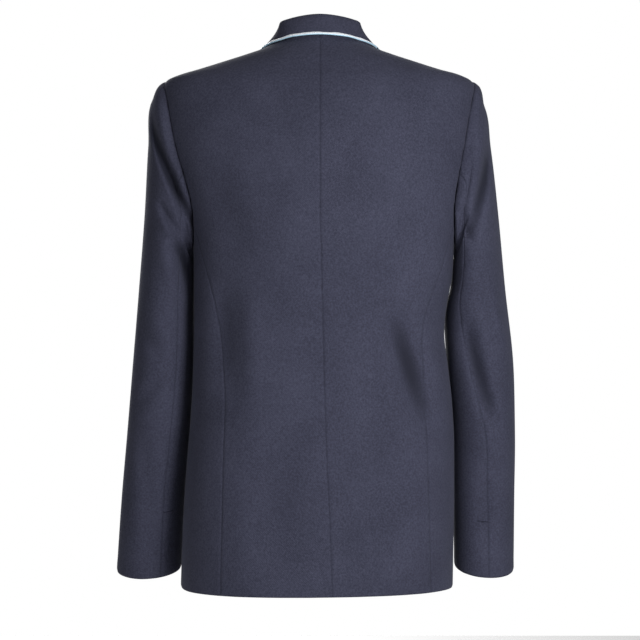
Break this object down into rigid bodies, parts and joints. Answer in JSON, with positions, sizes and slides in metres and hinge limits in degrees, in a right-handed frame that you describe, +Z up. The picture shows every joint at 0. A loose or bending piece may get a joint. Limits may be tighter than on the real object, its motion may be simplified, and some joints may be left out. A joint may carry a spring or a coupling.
{
  "type": "school blazer",
  "caption": "Single-breasted school blazer with a slim piped collar and notched lapels, filled out as if worn, hollow and open at neck, hem and cuffs.",
  "frame": {"origin": "between the shoulders, at the height where the collar meets the shoulder seams, where the wearer holds the garment up", "axes": "+Z up, -Y out of the garment's front, +X to the wearer's left"},
  "size_m": [0.4858, 0.2386, 0.6845],
  "materials": {
    "navy_cloth": "matte fine twill, navy, very soft sheen",
    "piping": "pale sky blue piping with a soft satin sheen",
    "button": "dark navy, softly polished"
  },
  "bodies": {
    "root": {"back_left": "navy_cloth", "back_right": "navy_cloth", "side_left": "navy_cloth", "side_right": "navy_cloth", "front_left": "navy_cloth", "front_right": "navy_cloth", "lapel_left": "navy_cloth", "lapel_right": "navy_cloth", "collar": "navy_cloth", "top_sleeve_left": "navy_cloth", "top_sleeve_right": "navy_cloth", "under_sleeve_left": "navy_cloth", "under_sleeve_right": "navy_cloth", "collar_piping": "piping", "button_upper": "button", "button_lower": "button"}
  },
  "joints": []
}
